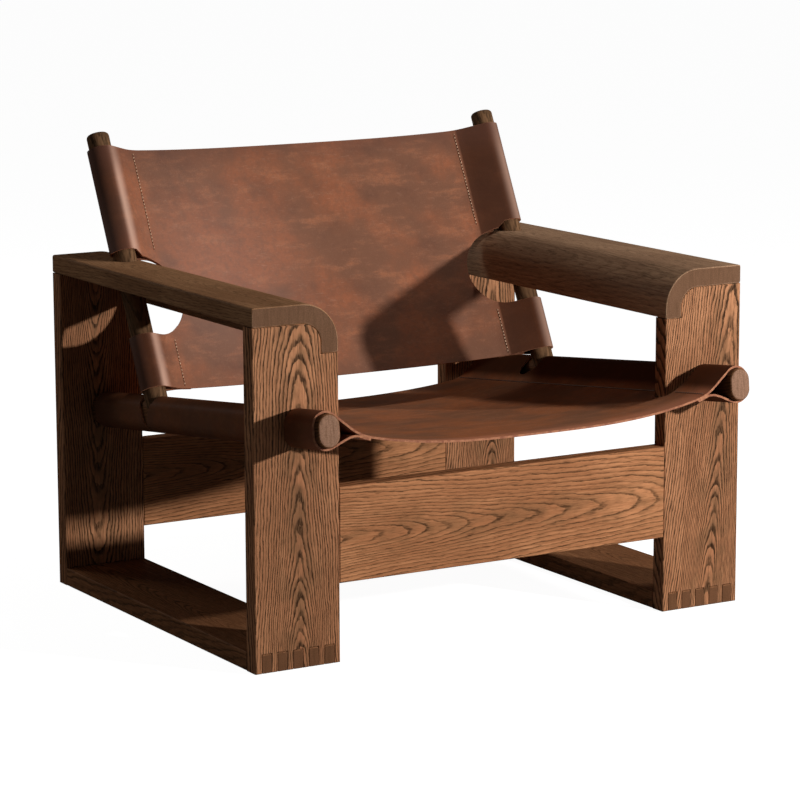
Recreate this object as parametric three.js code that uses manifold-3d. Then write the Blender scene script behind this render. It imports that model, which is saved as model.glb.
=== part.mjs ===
// Lounge chair with two oak side frames, two rails, and a leather seat and back slung
// between bars and dowels. Millimetres, +Z up, the chair faces -Y. Left and right are
// as seen from the front, so right is +X. The origin is on the floor, under the middle
// of the chair's box.

import * as THREE from 'three';
import { mergeVertices } from 'three/addons/utils/BufferGeometryUtils.js';
import Module from 'manifold-3d';

const wasm = await Module();
wasm.setup();

const degrees = THREE.MathUtils.degToRad;
const quarter = Math.PI / 2;

// Side frames: two posts, a runner on the floor and an arm across the top.
const frameWidth = 880; // across both side frames
const frameDepth = 691; // front face of the front posts to rear face of the rear posts
const armHeight = 550; // floor to the top of the arms
const boardWidth = 144;
const boardThickness = 29;
const lipHeight = 76; // top of the arm to the foot of its turned-down inner edge
const armBendRadius = 60; // outside of the bend between arm and lip
const armEdgeRadius = 3;
const boardChamfer = 1.2;
const fingerCount = 5; // fingers of the runner in a floor corner, between those of the post
const fingerShare = 0.55; // of the board's width that the runner's fingers take up

// Floor glides, let into the underside of the runners.
const glideDiameter = 24;
const glideThickness = 5;
const glideStandoff = 1.5; // gap that the glides leave under the runners
const glideInset = 62; // glide centre to the end of the runner

// Rails between the side frames, flush with both faces of the posts.
const railHeight = 147;
const frontRailLift = 123; // floor to the underside of the front rail
const rearRailLift = 86;

// Dowel pins hidden in the rail ends and the post tops.
const pinDiameter = 10;
const pinChamfer = 1; // also on the tenons and glides
const railPinLength = 64;
const railPinSpacing = 70;
const armPinLength = 50;
const armPinSpacing = 56;
const armPinRise = 17; // length of the pin that is in the arm

// Seat bars: oblong, sloping down to the rear, through the posts.
const barWidth = 37;
const barHeight = 51;
const barSlope = degrees(6.45);
const barAxisHeight = 367; // at the front face of the front posts
const barReach = 101; // from that face to the front end of the bar
const barEndRadius = 4;
const barTailInset = 4; // rear end of the bar to the rear face of the rear posts

// Back dowels: leaning back, through the arms and into the seat bars.
const dowelDiameter = 37;
const dowelLean = degrees(26.25); // from upright
const dowelSetback = 454; // along the bar, front face of the front posts to the dowel
const dowelLength = 478; // axis of the bar to the top of the dowel
const dowelTopRadius = 5;
const tenonDiameter = 20;
const tenonDepth = 14; // below the axis of the bar

// Leather, the same hide for both slings.
const leatherThickness = 3.3;
const hemLength = 22; // doubled leather inside the seam
const sagPower = 3; // a higher one makes the middle of a sling flatter
const sleeveTurn = degrees(-105); // where the lower layer leaves the underside of the wood
const sleeveSlack = 1 / 3; // how far the lower layer bulges, as a share of the seam's inset

// Seat sling.
const seatSeamInset = 56; // axis of the bar to the seam
const seatSeamDrop = 12; // axis of the bar down to the middle of the panel at the seam
const seatFrontInset = 11; // front end of the bar to the front edge of the leather
const seatRearInset = 20; // rear edge of the leather to the rear posts
const seatFrontSag = 28; // seam to the middle of the panel, at the front edge
const seatRearSag = 15;
const seatHollow = 7; // further sag halfway between the two edges
const postNotchReach = 20; // notch for the front post, past the inner side of the post
const dowelSlotReach = 43; // slot for the back dowel, in from the axis of the bar
const dowelSlitShare = 0.9; // half the slit's height, as a share of half the sleeve's

// Back sling.
const backSeamInset = 55.5;
const backSeamDrop = 11; // axis of the dowel back to the middle of the panel at the seam
const backTopInset = 26.5; // top of the dowel to the top edge of the leather
const backSag = 16;
const armCutReach = 95; // round cut-out for the arm, in from the axis of the dowel
const lowerSleeveShare = 0.66; // of the dowel between the seat's sleeve and the arm's lip

// Clearances.
const jointGap = 0.3; // between pieces that are glued or seated
const pinClearance = 0.2;
const barClearance = 0.4; // between a bar or dowel and its hole
const leatherSeat = 0.6; // between leather and the wood that it hangs on
const leatherClearance = 3; // between leather and wood that it passes
const sleeveClearance = 1.5; // from a back sleeve's square end to what is under it
const cutMargin = 40; // length of a cutting tool past what it cuts

// Facets.
const edgeSteps = 2; // round a board's edge
const bendSteps = 14; // round the arm's bend
const barSteps = 16; // round half a bar
const rimSteps = 3; // round the rim of a bar or dowel
const dowelSteps = 36;
const pinSteps = 10;
const turnedSteps = 16; // round a glide or tenon
const cutSteps = 16; // round the end of a cut in the leather
const sleeveSteps = 4; // round a quarter of a sleeve
const panelSteps = 7; // across half a sling
const seatRows = 5; // along the seat bars
const backRows = 3;

// Places worked out from the sizes above.
const postOuterX = frameWidth / 2;
const postInnerX = postOuterX - boardWidth;
const lipOuterX = postInnerX + boardThickness;
const barX = postOuterX - boardWidth / 2;
const frontY = -frameDepth / 2;
const rearY = frameDepth / 2;
const armUnderside = armHeight - boardThickness;
const lipFoot = armHeight - lipHeight;
const seatFrame = new THREE.Matrix4()
  .makeTranslation(0, frontY, barAxisHeight)
  .multiply(new THREE.Matrix4().makeRotationX(-barSlope));
const dowelFoot = new THREE.Vector3(0, dowelSetback, 0).applyMatrix4(seatFrame);
const backFrame = new THREE.Matrix4()
  .makeTranslation(0, dowelFoot.y, dowelFoot.z)
  .multiply(new THREE.Matrix4().makeRotationX(-dowelLean));
const dowelToBar = dowelLean - barSlope; // the dowel's lean from square to the bar
const barTail = (frameDepth - barTailInset) / Math.cos(barSlope);
const seatSleeveTop = barHeight / 2 + leatherSeat + leatherThickness;

// Turns from an outline's own axes to the chair's.
const axisX = new THREE.Vector3(1, 0, 0);
const axisY = new THREE.Vector3(0, 1, 0);
const axisZ = new THREE.Vector3(0, 0, 1);
const facingFront = new THREE.Matrix4().makeBasis(axisX, axisZ, axisY.clone().negate());
const facingSide = new THREE.Matrix4().makeBasis(axisY, axisZ, axisX);
const hangingDown = new THREE.Matrix4().makeBasis(
  axisX, axisY.clone().negate(), axisZ.clone().negate());

// Points of an outline along an arc.
function arc(x, y, radius, from, to, steps) {
  return new THREE.EllipseCurve(x, y, radius, radius, from, to, to < from).getPoints(steps);
}

const at = (x, y) => new THREE.Vector2(x, y);

// A closed geometry as a solid that can be cut and joined.
function solidOf(geometry) {
  const bare = geometry.clone();
  bare.deleteAttribute('normal');
  bare.deleteAttribute('uv');
  const merged = mergeVertices(bare);
  const corners = merged.index.array;
  const triangles = [];
  for (let i = 0; i < corners.length; i += 3) {
    const [a, b, c] = corners.slice(i, i + 3);
    if (a !== b && b !== c && c !== a) {
      triangles.push(a, b, c);
    }
  }
  return new wasm.Manifold(new wasm.Mesh({
    numProp: 3,
    vertProperties: merged.attributes.position.array,
    triVerts: Uint32Array.from(triangles),
  }));
}

function geometryOf(solid) {
  const mesh = solid.getMesh();
  const geometry = new THREE.BufferGeometry();
  geometry.setAttribute('position', new THREE.BufferAttribute(mesh.vertProperties, 3));
  geometry.setIndex(new THREE.BufferAttribute(mesh.triVerts, 1));
  geometry.computeVertexNormals();
  return geometry;
}

function cut(geometry, cutters) {
  let solid = solidOf(geometry);
  for (const cutter of cutters) {
    solid = solid.subtract(solidOf(cutter));
  }
  return geometryOf(solid);
}

// The same piece for the other side of the chair.
function mirrored(geometry) {
  const copy = geometry.clone().scale(-1, 1, 1);
  const corners = copy.index.array;
  for (let i = 0; i < corners.length; i += 3) {
    [corners[i], corners[i + 1]] = [corners[i + 1], corners[i]];
  }
  copy.computeVertexNormals();
  return copy;
}

// A board sawn to an outline, with its edges chamfered on both faces.
function board(outline, thickness) {
  return new THREE.ExtrudeGeometry(outline, {
    depth: thickness - 2 * boardChamfer,
    bevelThickness: boardChamfer,
    bevelSize: boardChamfer,
    bevelOffset: -boardChamfer,
    bevelSegments: 1,
  }).translate(0, 0, boardChamfer);
}

// A round rod with chamfered ends, standing on the origin along +Z.
function rod(diameter, length, chamfer, steps) {
  const radius = diameter / 2;
  const profile = [
    at(0, 0),
    at(radius - chamfer, 0),
    at(radius, chamfer),
    at(radius, length - chamfer),
    at(radius - chamfer, length),
    at(0, length),
  ];
  return new THREE.LatheGeometry(profile, steps).rotateX(quarter);
}

// A square-ended rod for drilling a hole along +Z, between two heights.
function drill(diameter, from, to, steps) {
  return new THREE.CylinderGeometry(diameter / 2, diameter / 2, to - from, steps)
    .rotateX(quarter)
    .translate(0, 0, (from + to) / 2);
}

// Dowel pins and the holes for them. Each place holds the low end of a pin and its turn.
const alongX = new THREE.Matrix4().makeRotationY(quarter);
const postMiddleY = { front: frontY + boardThickness / 2, rear: rearY - boardThickness / 2 };
const railLift = { front: frontRailLift, rear: rearRailLift };
const ends = ['front', 'rear'];
const levels = { lower: -1, upper: 1 };
const pinPlaces = [];
for (const end of ends) {
  for (const [level, sign] of Object.entries(levels)) {
    const height = railLift[end] + railHeight / 2 + sign * railPinSpacing / 2;
    pinPlaces.push({
      name: `${end}_rail_pin_${level}`,
      end,
      length: railPinLength,
      place: new THREE.Matrix4()
        .makeTranslation(postInnerX - railPinLength / 2, postMiddleY[end], height)
        .multiply(alongX),
    });
  }
  const plateMiddleX = (lipOuterX + postOuterX) / 2;
  for (const [side, sign] of [['inner', -1], ['outer', 1]]) {
    const low = armUnderside + armPinRise - armPinLength;
    pinPlaces.push({
      name: `${end}_arm_pin_${side}`,
      end,
      length: armPinLength,
      place: new THREE.Matrix4().makeTranslation(
        plateMiddleX + sign * armPinSpacing / 2, postMiddleY[end], low),
    });
  }
}

function pin({ length, place }) {
  return rod(pinDiameter, length, pinChamfer, pinSteps).applyMatrix4(place);
}

function pinHole({ length, place }) {
  const bore = pinDiameter + 2 * pinClearance;
  return drill(bore, -jointGap, length + jointGap, pinSteps).applyMatrix4(place);
}

const pinHolesAt = (end) => pinPlaces.filter((one) => one.end === end).map(pinHole);
const allPinHoles = pinPlaces.map(pinHole);

// Seat bar of the right side, larger all round by the given allowance.
function barOutline(allowance) {
  const radius = barWidth / 2 + allowance;
  const rise = (barHeight - barWidth) / 2;
  return new THREE.Shape([
    ...arc(barX, rise, radius, 0, 2 * quarter, barSteps),
    ...arc(barX, -rise, radius, 2 * quarter, 4 * quarter, barSteps),
  ]);
}

function barBlank() {
  return new THREE.ExtrudeGeometry(barOutline(0), {
    depth: barTail + barReach - 2 * barEndRadius,
    bevelThickness: barEndRadius,
    bevelSize: barEndRadius,
    bevelOffset: -barEndRadius,
    bevelSegments: rimSteps,
  })
    .applyMatrix4(facingFront)
    .translate(0, barTail - barEndRadius, 0)
    .applyMatrix4(seatFrame);
}

function barTool() {
  return new THREE.ExtrudeGeometry(barOutline(barClearance), {
    depth: barTail + barReach + 2 * cutMargin,
    bevelEnabled: false,
  })
    .applyMatrix4(facingFront)
    .translate(0, barTail + cutMargin, 0)
    .applyMatrix4(seatFrame);
}

// Back dowel of the right side: its foot is coped over the bar and has a tenon in it.
function dowelShaft() {
  const radius = dowelDiameter / 2;
  const rim = arc(radius - dowelTopRadius, dowelLength - dowelTopRadius, dowelTopRadius,
    0, quarter, rimSteps);
  const profile = [at(0, 0), at(radius, 0), ...rim, at(0, dowelLength)];
  return new THREE.LatheGeometry(profile, dowelSteps)
    .rotateX(quarter)
    .translate(barX, 0, 0)
    .applyMatrix4(backFrame);
}

function dowelTenon() {
  return rod(tenonDiameter, tenonDepth + barHeight, pinChamfer, turnedSteps)
    .translate(barX, 0, -tenonDepth)
    .applyMatrix4(backFrame);
}

function tenonTool() {
  return drill(tenonDiameter + 2 * pinClearance, -tenonDepth - jointGap, barHeight, turnedSteps)
    .translate(barX, 0, 0)
    .applyMatrix4(backFrame);
}

function dowelTool() {
  return drill(dowelDiameter + 2 * barClearance, 0, dowelLength + cutMargin, dowelSteps)
    .translate(barX, 0, 0)
    .applyMatrix4(backFrame);
}

function seatBar() {
  return cut(barBlank(), [tenonTool()]);
}

function backDowel() {
  const coped = solidOf(dowelShaft()).subtract(solidOf(barTool()));
  return geometryOf(coped.add(solidOf(dowelTenon())));
}

// Arm of the right side, drilled for the back dowel and the pins.
function arm() {
  const bendX = postInnerX + armBendRadius;
  const bendZ = armHeight - armBendRadius;
  const bendInside = armBendRadius - boardThickness;
  const edge = armEdgeRadius;
  const outline = new THREE.Shape([
    ...arc(postOuterX - edge, armHeight - edge, edge, 0, quarter, edgeSteps),
    ...arc(bendX, bendZ, armBendRadius, quarter, 2 * quarter, bendSteps),
    ...arc(postInnerX + edge, lipFoot + edge, edge, 2 * quarter, 3 * quarter, edgeSteps),
    ...arc(lipOuterX - edge, lipFoot + edge, edge, 3 * quarter, 4 * quarter, edgeSteps),
    ...arc(bendX, bendZ, bendInside, 2 * quarter, quarter, bendSteps),
    ...arc(postOuterX - edge, armUnderside + edge, edge, 3 * quarter, 4 * quarter, edgeSteps),
  ]);
  const blank = board(outline, frameDepth).applyMatrix4(facingFront).translate(0, rearY, 0);
  return cut(blank, [dowelTool(), ...allPinHoles]);
}

// Edges of the runner's fingers across a floor corner of the right side.
function fingerEdges() {
  const width = boardWidth * fingerShare / fingerCount;
  const space = boardWidth * (1 - fingerShare) / (fingerCount + 1);
  const edges = [];
  for (let i = 0; i < fingerCount; i += 1) {
    const from = postInnerX + space + i * (width + space);
    edges.push([from, from + width]);
  }
  return edges;
}

// Post of the right side: its head fits inside the arm, and fingers fill its foot.
function post(end) {
  const head = armUnderside - jointGap;
  const shoulder = lipFoot - jointGap;
  const cheekX = lipOuterX + jointGap;
  const bendX = postInnerX + armBendRadius;
  const bendZ = armHeight - armBendRadius;
  const notchTop = glideStandoff + boardThickness + jointGap;
  const corners = [
    at(postOuterX, glideStandoff),
    at(postOuterX, head),
    ...arc(bendX, bendZ, bendX - cheekX, quarter, 2 * quarter, bendSteps),
    at(cheekX, shoulder),
    at(postInnerX, shoulder),
    at(postInnerX, glideStandoff),
  ];
  for (const [from, to] of fingerEdges()) {
    const left = from - jointGap / 2;
    const right = to + jointGap / 2;
    corners.push(at(left, glideStandoff), at(left, notchTop));
    corners.push(at(right, notchTop), at(right, glideStandoff));
  }
  const blank = board(new THREE.Shape(corners), boardThickness)
    .applyMatrix4(facingFront)
    .translate(0, postMiddleY[end] + boardThickness / 2, 0);
  return cut(blank, [barTool(), ...pinHolesAt(end)]);
}

// Runner of the right side, with fingers between those of both posts.
function runner() {
  const notchEnd = rearY - boardThickness - jointGap;
  const rearEnd = [at(postInnerX, notchEnd)];
  for (const [from, to] of fingerEdges()) {
    const left = from + jointGap / 2;
    const right = to - jointGap / 2;
    rearEnd.push(at(left, notchEnd), at(left, rearY), at(right, rearY), at(right, notchEnd));
  }
  rearEnd.push(at(postOuterX, notchEnd));
  const frontEnd = rearEnd.map((corner) => at(corner.x, -corner.y)).reverse();
  const outline = new THREE.Shape([...rearEnd, ...frontEnd]);
  const blank = board(outline, boardThickness).translate(0, 0, glideStandoff);
  return cut(blank, glidePlaces.map(glideRecess));
}

// Glides and their recesses in the runner of the right side.
const glideY = frameDepth / 2 - glideInset;
const glidePlaces = [
  { name: 'front_glide', y: -glideY },
  { name: 'rear_glide', y: glideY },
];

function glide({ y }) {
  return rod(glideDiameter, glideThickness, pinChamfer, turnedSteps).translate(barX, y, 0);
}

function glideRecess({ y }) {
  return drill(glideDiameter + 2 * pinClearance, 0, glideThickness + jointGap, turnedSteps)
    .translate(barX, y, 0);
}

function rail(end) {
  const halfLength = postInnerX - jointGap;
  const low = railLift[end];
  const outline = new THREE.Shape([
    at(-halfLength, low),
    at(halfLength, low),
    at(halfLength, low + railHeight),
    at(-halfLength, low + railHeight),
  ]);
  const blank = board(outline, boardThickness)
    .applyMatrix4(facingFront)
    .translate(0, postMiddleY[end] + boardThickness / 2, 0);
  const holes = pinHolesAt(end);
  return cut(blank, [...holes, ...holes.map((hole) => mirrored(hole))]);
}

// A solid through like sections, spaced evenly along +Z. Each section lists its outline,
// anticlockwise, and then the pockets in it, clockwise.
function loft(sections, length) {
  const points = [];
  const triangles = [];
  const last = sections.length - 1;
  const size = sections[0].flat().length;
  sections.forEach((rings, row) => {
    for (const { x, y } of rings.flat()) {
      points.push(x, y, length * row / last);
    }
  });
  for (let row = 0; row < last; row += 1) {
    let first = row * size;
    for (const ring of sections[row]) {
      for (let i = 0; i < ring.length; i += 1) {
        const a = first + i;
        const b = first + (i + 1) % ring.length;
        triangles.push(a, b, b + size, a, b + size, a + size);
      }
      first += ring.length;
    }
  }
  const cap = ([outline, ...pockets]) => THREE.ShapeUtils.triangulateShape(outline, pockets);
  for (const [a, b, c] of cap(sections[0])) {
    triangles.push(c, b, a);
  }
  for (const corners of cap(sections[last])) {
    triangles.push(...corners.map((corner) => corner + last * size));
  }
  const geometry = new THREE.BufferGeometry();
  geometry.setAttribute('position', new THREE.Float32BufferAttribute(points, 3));
  geometry.setIndex(triangles);
  return geometry;
}

// A slung sheet before it is cut: a panel that sags between two sleeves, each drawn tight
// round an oblong or round length of wood and tapering to its seam. In its outline x runs
// across the chair and y away from the side where the hem is turned under.
function slingSheet({ woodWidth, woodHeight, seamInset, seamDrop, length, rows, sagAt }) {
  const half = leatherThickness / 2;
  const sleeveInner = woodWidth / 2 + leatherSeat;
  const sleeveOuter = sleeveInner + leatherThickness;
  const rise = (woodHeight - woodWidth) / 2; // wood's axis to the middle of its round ends
  const seamX = barX - seamInset;
  const seamTop = half - seamDrop;
  const hemUnder = seamTop - 2 * leatherThickness;
  const slack = seamInset * sleeveSlack;

  // The sleeve's upper layer leaves the wood on a tangent to the seam.
  const reach = Math.hypot(seamInset, rise - seamTop);
  const bearing = Math.PI + Math.atan2(rise - seamTop, seamInset);
  const topAngle = bearing - Math.acos(sleeveOuter / reach);
  const over = (radius, angle) => at(
    barX + radius * Math.cos(angle), rise + radius * Math.sin(angle));
  const under = (radius, angle) => at(
    barX + radius * Math.cos(angle), radius * Math.sin(angle) - rise);
  const curl = (radius) => under(radius, sleeveTurn)
    .add(at(Math.sin(sleeveTurn), -Math.cos(sleeveTurn)).multiplyScalar(slack));

  const right = new THREE.Path();
  right.moveTo(0, seamTop - leatherThickness);
  for (let i = 1; i <= panelSteps; i += 1) {
    right.lineTo((seamX - hemLength) * i / panelSteps, seamTop - leatherThickness);
  }
  right.lineTo(seamX - hemLength, hemUnder);
  right.lineTo(seamX, hemUnder);
  const lowOuter = under(sleeveOuter, sleeveTurn);
  const curlOuter = curl(sleeveOuter);
  right.bezierCurveTo(seamX + slack, hemUnder, curlOuter.x, curlOuter.y, lowOuter.x, lowOuter.y);
  right.absarc(barX, -rise, sleeveOuter, sleeveTurn, 0, false);
  right.absarc(barX, rise, sleeveOuter, 0, topAngle, false);
  for (let i = panelSteps; i >= 0; i -= 1) {
    right.lineTo(seamX * i / panelSteps, seamTop);
  }
  const rightEdge = right.getPoints(sleeveSteps);
  const leftEdge = rightEdge.slice(1, -1).map((p) => at(-p.x, p.y)).reverse();

  // The pocket stops short of the seam, where the two layers are sewn together.
  const topInner = over(sleeveInner, topAngle);
  const pocketTip = at(seamX, seamTop).sub(over(sleeveOuter, topAngle))
    .multiplyScalar(1 - leatherThickness / reach)
    .add(topInner);
  const lowInner = under(sleeveInner, sleeveTurn);
  const curlInner = curl(sleeveInner);
  const pocket = new THREE.Path();
  pocket.moveTo(pocketTip.x, pocketTip.y);
  pocket.bezierCurveTo(pocketTip.x + slack, pocketTip.y - leatherThickness,
    curlInner.x, curlInner.y, lowInner.x, lowInner.y);
  pocket.absarc(barX, -rise, sleeveInner, sleeveTurn, 0, false);
  pocket.absarc(barX, rise, sleeveInner, 0, topAngle, false);
  const rightPocket = pocket.getPoints(sleeveSteps).reverse();
  const leftPocket = rightPocket.map((p) => at(-p.x, p.y)).reverse();

  const sections = [];
  for (let row = 0; row <= rows; row += 1) {
    const sag = sagAt(row / rows);
    const hang = ({ x, y }) => {
      const across = Math.min(Math.abs(x) / seamX, 1);
      return at(x, y - sag * (1 - across ** sagPower));
    };
    sections.push([[...rightEdge, ...leftEdge].map(hang), rightPocket, leftPocket]);
  }
  return loft(sections, length);
}

// A cutting tool with a round inner end, open towards the outside of the chair.
function openSlot(innerX, outerX, halfWidth, from, to) {
  const outline = new THREE.Shape([
    at(outerX, -halfWidth),
    at(outerX, halfWidth),
    ...arc(innerX + halfWidth, 0, halfWidth, quarter, 3 * quarter, cutSteps),
  ]);
  return new THREE.ExtrudeGeometry(outline, { depth: to - from, bevelEnabled: false })
    .translate(0, 0, from);
}

// Seat sling: notched round the front posts, slotted for the dowels, with the slot's
// outer end drawn out into a slit down the outside of the sleeve.
function seatSling() {
  const rearEdge = barTail + barTailInset - boardThickness - seatRearInset;
  const length = rearEdge + barReach - seatFrontInset;
  const sheet = slingSheet({
    woodWidth: barWidth,
    woodHeight: barHeight,
    seamInset: seatSeamInset,
    seamDrop: seatSeamDrop,
    length,
    rows: seatRows,
    sagAt: (f) => seatRearSag + (seatFrontSag - seatRearSag) * f + 4 * seatHollow * f * (1 - f),
  }).applyMatrix4(facingFront).translate(0, rearEdge, 0).applyMatrix4(seatFrame);

  const notchHalf = boardThickness / 2 + leatherClearance;
  const notch = openSlot(postInnerX - postNotchReach, barX + barWidth + cutMargin, notchHalf,
    barAxisHeight - barHeight - cutMargin, barAxisHeight + barHeight + cutMargin)
    .translate(0, postMiddleY.front, 0);

  const slotHalf = dowelDiameter / 2 / Math.cos(dowelToBar) + leatherClearance;
  const slotY = dowelSetback + seatSleeveTop * Math.tan(dowelToBar);
  const slotFloor = -seatSeamDrop / 2; // clear of the sleeve's lower layer
  const slotEnd = barX + dowelDiameter / 2 + jointGap;
  const slot = openSlot(barX - dowelSlotReach, slotEnd, slotHalf, slotFloor,
    seatSleeveTop + cutMargin).translate(0, slotY, 0).applyMatrix4(seatFrame);

  const slitTop = seatSleeveTop * dowelSlitShare;
  const outline = new THREE.Shape();
  outline.moveTo(-slotHalf, slitTop);
  outline.quadraticCurveTo(-leatherClearance, 0, 0, -slitTop);
  outline.quadraticCurveTo(leatherClearance, 0, slotHalf, slitTop);
  const slit = new THREE.ExtrudeGeometry(outline, {
    depth: cutMargin, bevelEnabled: false, curveSegments: sleeveSteps,
  }).applyMatrix4(facingSide).translate(barX, slotY, 0).applyMatrix4(seatFrame);

  const tools = [notch, slot, slit].map((tool) => mergeVertices(tool));
  return cut(sheet, [...tools, ...tools.map((tool) => mirrored(tool))]);
}

// Back sling: cut out round each arm, from above the arm to well under its lip.
function backSling() {
  const sleeveOuter = dowelDiameter / 2 + leatherSeat + leatherThickness;
  const clearOf = (height, lean) => (
    (height + sleeveClearance + sleeveOuter * Math.sin(lean)) / Math.cos(lean));
  const topEdge = dowelLength - backTopInset;
  const bottomEdge = clearOf(seatSleeveTop, dowelToBar);
  const sheet = slingSheet({
    woodWidth: dowelDiameter,
    woodHeight: dowelDiameter,
    seamInset: backSeamInset,
    seamDrop: backSeamDrop,
    length: topEdge - bottomEdge,
    rows: backRows,
    sagAt: () => backSag,
  }).applyMatrix4(hangingDown).translate(0, 0, topEdge).applyMatrix4(backFrame);

  const lipPlace = (lipFoot - dowelFoot.z) / Math.cos(dowelLean);
  const cutTop = clearOf(armHeight - dowelFoot.z, dowelLean);
  const cutBottom = bottomEdge + (lipPlace - bottomEdge) * lowerSleeveShare;
  const cutDepth = dowelDiameter + cutMargin; // before and behind the dowels
  const hole = mergeVertices(openSlot(barX - armCutReach, barX + dowelDiameter + cutMargin,
    (cutTop - cutBottom) / 2, -cutDepth, cutDepth)
    .applyMatrix4(facingFront)
    .translate(0, 0, (cutTop + cutBottom) / 2)
    .applyMatrix4(backFrame));
  return cut(sheet, [hole, mirrored(hole)]);
}

// Finishes.
const oak = new THREE.MeshStandardMaterial({ color: 0x6f472a, roughness: 0.55, metalness: 0 });
const beech = new THREE.MeshStandardMaterial({ color: 0xc49a6c, roughness: 0.6, metalness: 0 });
const leather = new THREE.MeshStandardMaterial({ color: 0x6a3826, roughness: 0.42, metalness: 0 });
const nylon = new THREE.MeshStandardMaterial({ color: 0x2a2624, roughness: 0.5, metalness: 0 });

const chair = new THREE.Group();

function add(name, geometry, material) {
  const mesh = new THREE.Mesh(geometry, material);
  mesh.name = name;
  chair.add(mesh);
}

function addPair(name, geometry, material) {
  const right = mergeVertices(geometry);
  add(`${name}_right`, right, material);
  add(`${name}_left`, mirrored(right), material);
}

addPair('arm', arm(), oak);
addPair('front_post', post('front'), oak);
addPair('rear_post', post('rear'), oak);
addPair('runner', runner(), oak);
for (const place of glidePlaces) {
  addPair(place.name, glide(place), nylon);
}
for (const end of ends) {
  add(`${end}_rail`, rail(end), oak);
}
for (const place of pinPlaces) {
  addPair(place.name, pin(place), beech);
}
addPair('seat_bar', seatBar(), oak);
addPair('back_dowel', backDowel(), oak);
add('seat_sling', seatSling(), leather);
add('back_sling', backSling(), leather);

// The bars stand out in front of the frames, so the box's middle is not the frames' middle.
const box = new THREE.Box3().setFromObject(chair);
chair.position.y = -(box.min.y + box.max.y) / 2;

export default chair;
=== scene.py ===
"""A low lounge chair: two closed oak side frames, two rails between them, and a leather seat and
back that hang by sewn sleeves from sloping bars and leaning dowels. Lengths are in metres."""
import math

import bmesh
import bpy
from mathutils import Matrix, Vector


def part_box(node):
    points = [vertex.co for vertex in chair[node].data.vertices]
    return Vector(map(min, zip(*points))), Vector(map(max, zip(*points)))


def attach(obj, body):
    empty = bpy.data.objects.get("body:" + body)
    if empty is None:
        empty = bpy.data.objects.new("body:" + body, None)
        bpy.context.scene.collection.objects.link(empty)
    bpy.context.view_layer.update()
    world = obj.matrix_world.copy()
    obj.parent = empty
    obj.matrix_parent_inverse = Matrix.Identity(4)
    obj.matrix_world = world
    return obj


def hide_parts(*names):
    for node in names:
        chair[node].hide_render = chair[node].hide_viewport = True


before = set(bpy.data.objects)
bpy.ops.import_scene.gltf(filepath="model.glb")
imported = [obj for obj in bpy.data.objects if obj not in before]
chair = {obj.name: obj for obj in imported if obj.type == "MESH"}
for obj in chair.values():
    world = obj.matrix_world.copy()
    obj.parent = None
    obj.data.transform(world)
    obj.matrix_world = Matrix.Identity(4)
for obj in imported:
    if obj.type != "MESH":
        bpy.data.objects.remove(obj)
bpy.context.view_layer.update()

# Runners: one wide oak board flat on the floor under each side frame, its ends cut into fingers
# that are glued between the fingers of the posts. Plain-sawn oak, stained walnut brown and waxed,
# whose ring bands read as dark arches on the faces.
OAK_PALE = (0.425, 0.186, 0.083, 1.0)
OAK_WARM = (0.300, 0.121, 0.052, 1.0)
OAK_OLIVE = (0.120, 0.064, 0.029, 1.0)
OAK_BAND = (0.068, 0.032, 0.014, 1.0)
OAK_PORE = (0.026, 0.011, 0.005, 1.0)
FINGER_END = (0.150, 0.066, 0.032, 1.0)
OAK_RUBBED_EDGE = (0.480, 0.290, 0.180, 1.0)
RING_WIDTH = 0.0039
HEART_TAPER = 0.075
OUTER_TAPER = 0.045
HEART_SPREAD = 0.036
SWELL = 0.022
WAVER = 0.0054
BAND_SHARE = 0.90
DULL_SHARE = 0.45
HEART_STAIN = 0.50
FINE_PORE_SHARE = 0.46
SPECKLE_SHARE = 0.42
RAY_SHARE = 0.34
EDGE_EASE = 0.0016
OAK_WAX = 0.010
OAK_WAX_ROUGHNESS = 0.42
WAX_IOR = 2.5
RUNNER_HEART_OFF = 0.018
RUNNER_HEART_BELOW = 0.004
SIDES = (("right", 1), ("left", -1))


def new_finish(name):
    """A new finish, with its tree of steps and the shader at its end."""
    finish = bpy.data.materials.new(name)
    finish.use_nodes = True
    return finish, finish.node_tree, finish.node_tree.nodes["Principled BSDF"]


def finish_step(tree, kind, feeds=None, **settings):
    """One step of a finish, with its settings and with what feeds each of its sockets."""
    step = tree.nodes.new(kind)
    for setting, value in settings.items():
        setattr(step, setting, value)
    for socket, source in (feeds or {}).items():
        if isinstance(source, bpy.types.NodeSocket):
            tree.links.new(source, step.inputs[socket])
        else:
            step.inputs[socket].default_value = source
    return step


def sum_of(tree, operation, first, second=None, third=None):
    """The outcome of one sum on up to three values."""
    given = [value for value in (first, second, third) if value is not None]
    step = finish_step(tree, "ShaderNodeMath", dict(enumerate(given)), operation=operation)
    return step.outputs[0]


def cloud(tree, place, stretch, size, detail=2.0, roughness=0.55):
    """A soft random pattern from 0 to 1 whose patches are about size across."""
    spread = finish_step(tree, "ShaderNodeVectorMath", {0: place, 1: stretch}, operation="MULTIPLY")
    pattern = finish_step(tree, "ShaderNodeTexNoise", {
        "Vector": spread.outputs[0], "Scale": 1.0 / size, "Detail": detail, "Roughness": roughness})
    return pattern.outputs["Fac"]


def step_between(tree, value, low, high, bottom=0.0, top=1.0):
    """The value spread from bottom at low to top at high, and held beyond them."""
    step = finish_step(tree, "ShaderNodeMapRange", {
        "Value": value, "From Min": low, "From Max": high, "To Min": bottom, "To Max": top},
        interpolation_type="SMOOTHSTEP")
    return step.outputs[0]


def blended(tree, share, under, over):
    """One colour laid over another by a share from 0 to 1."""
    step = finish_step(tree, "ShaderNodeMix", {0: share, 6: under, 7: over}, data_type="RGBA")
    return step.outputs[2]


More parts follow.
